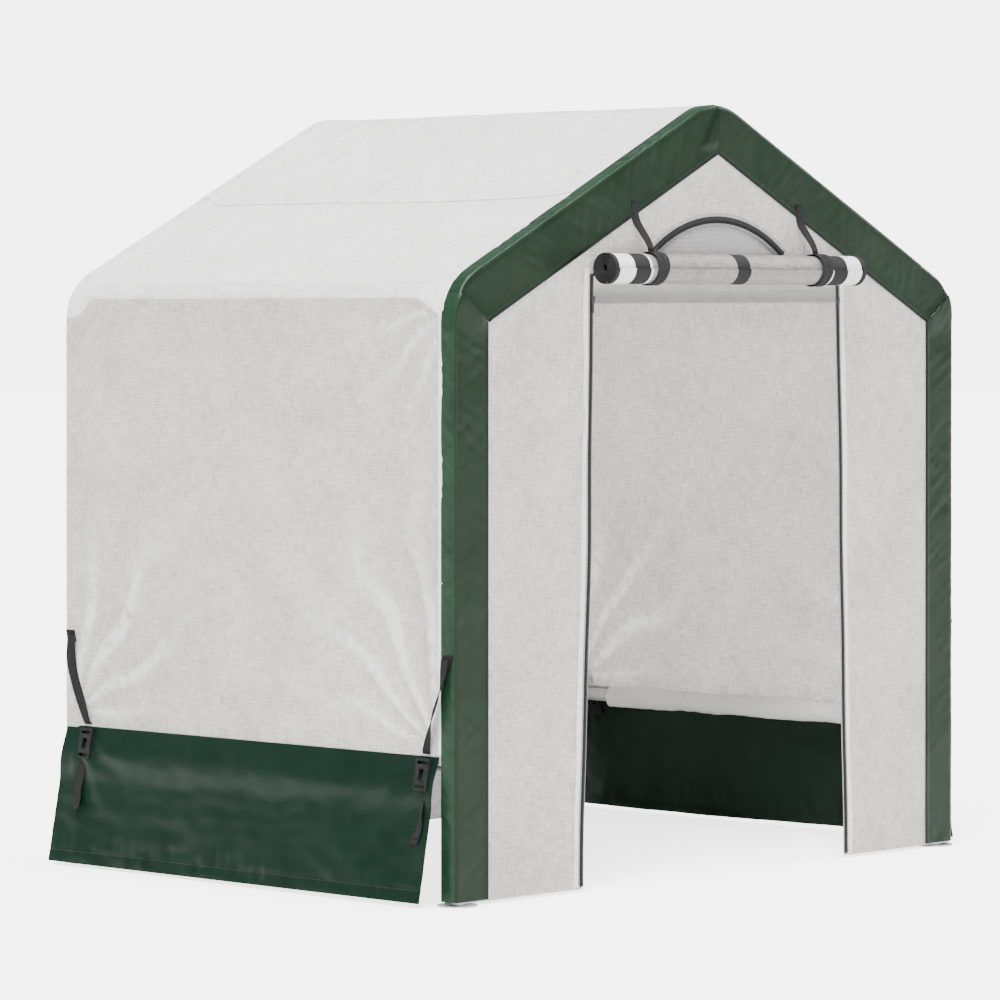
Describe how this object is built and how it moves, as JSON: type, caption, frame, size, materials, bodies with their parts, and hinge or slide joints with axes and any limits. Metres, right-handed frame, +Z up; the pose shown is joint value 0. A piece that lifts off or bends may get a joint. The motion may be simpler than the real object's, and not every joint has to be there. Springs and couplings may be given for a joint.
{
  "type": "walk-in garden greenhouse",
  "caption": "Small walk-in greenhouse: steel tube frame under a white film cover with green trims, roll-up door, zipped gable vent and ground skirts.",
  "frame": {"origin": "on the ground, at the middle of the whole object's box", "axes": "+Z up, the door gable faces -Y, +X to the right of a person facing the door"},
  "size_m": [2.0898, 1.558, 2.0015],
  "materials": {
    "film": "woven translucent polyethylene film, satin",
    "green_film": "glossy coated polyethylene, dark green",
    "tube_steel": "galvanised, satin",
    "fitting_steel": "galvanised, slightly rough",
    "bolt_steel": "zinc plated",
    "webbing": "woven polyester webbing",
    "buckle_plastic": "moulded, matt",
    "zip_tape": "black zip tape and chain",
    "slider_metal": "dark enamel",
    "vent_net": "fine insect net"
  },
  "bodies": {
    "frame": {"front_left_foot": "fitting_steel", "front_right_foot": "fitting_steel", "rear_left_foot": "fitting_steel", "rear_right_foot": "fitting_steel", "front_left_lower_leg": "tube_steel", "front_right_lower_leg": "tube_steel", "rear_left_lower_leg": "tube_steel", "rear_right_lower_leg": "tube_steel", "front_left_upper_leg": "tube_steel", "front_right_upper_leg": "tube_steel", "rear_left_upper_leg": "tube_steel", "rear_right_upper_leg": "tube_steel", "front_left_eave_elbow": "fitting_steel", "front_right_eave_elbow": "fitting_steel", "rear_left_eave_elbow": "fitting_steel", "rear_right_eave_elbow": "fitting_steel", "front_left_rafter": "tube_steel", "front_right_rafter": "tube_steel", "rear_left_rafter": "tube_steel", "rear_right_rafter": "tube_steel", "front_peak_elbow": "fitting_steel", "rear_peak_elbow": "fitting_steel", "ridge_purlin": "tube_steel", "left_eave_purlin": "tube_steel", "right_eave_purlin": "tube_steel", "left_side_rail": "tube_steel", "right_side_rail": "tube_steel", "rail_tees": "fitting_steel", "frame_bolts": "bolt_steel", "ridge_sheet": "film", "left_side_sheet": "film", "right_side_sheet": "film", "front_panel": "film", "rear_panel": "film", "rail_pockets": "film", "front_left_leg_trim": "green_film", "front_right_leg_trim": "green_film", "front_left_rafter_trim": "green_film", "front_right_rafter_trim": "green_film", "rear_trims": "green_film", "left_corner_straps": "webbing", "right_corner_straps": "webbing", "left_door_zip": "zip_tape", "right_door_zip": "zip_tape", "left_door_tie": "webbing", "right_door_tie": "webbing", "vent_mesh": "vent_net", "vent_zip": "zip_tape"},
    "door_web": {"door_web": "film"},
    "door_roll": {"door_roll": "film"},
    "left_zip_slider": {"left_zip_slider": "slider_metal"},
    "right_zip_slider": {"right_zip_slider": "slider_metal"},
    "vent_slider": {"vent_slider": "slider_metal"},
    "vent_flap": {"vent_flap": "film"},
    "left_skirt": {"left_skirt": "green_film", "left_strap_buckles": "buckle_plastic", "left_strap_tails": "webbing"},
    "right_skirt": {"right_skirt": "green_film", "right_strap_buckles": "buckle_plastic", "right_strap_tails": "webbing"}
  },
  "joints": [
    {"name": "door_drop", "type": "slide", "parent": "frame", "child": "door_web", "axis": [0, 0, -1], "range_m": [0, 1.51], "deforming": ["door_web", "left_door_tie", "right_door_tie"]},
    {"name": "door_spin", "type": "hinge", "parent": "door_web", "child": "door_roll", "pos_m": [0, -0.735, 1.575], "axis": [1, 0, 0], "range_deg": [0, 2700]},
    {"name": "left_zip_slide", "type": "slide", "parent": "frame", "child": "left_zip_slider", "axis": [-0.0256, 0, -0.9997], "range_m": [0, 1.435]},
    {"name": "right_zip_slide", "type": "slide", "parent": "frame", "child": "right_zip_slider", "axis": [0.0256, 0, -0.9997], "range_m": [0, 1.435]},
    {"name": "vent_zip_slide", "type": "hinge", "parent": "frame", "child": "vent_slider", "pos_m": [0, -0.685, 1.286], "axis": [0, 1, 0], "range_deg": [0, 72.6]},
    {"name": "vent_fold", "type": "hinge", "parent": "frame", "child": "vent_flap", "pos_m": [0, -0.6778, 1.602], "axis": [-1, 0, 0], "range_deg": [0, 150]},
    {"name": "left_skirt_swing", "type": "hinge", "parent": "frame", "child": "left_skirt", "pos_m": [-0.9815, 0.039, 0.366], "axis": [0, 1, 0], "range_deg": [0, 75], "deforming": ["left_corner_straps"]},
    {"name": "right_skirt_swing", "type": "hinge", "parent": "frame", "child": "right_skirt", "pos_m": [0.9815, 0.039, 0.366], "axis": [0, -1, 0], "range_deg": [0, 75], "deforming": ["right_corner_straps"]}
  ],
  "couplings": [
    {"joint": "door_spin", "follows": "door_drop", "rad_per_m": 31.207}
  ]
}
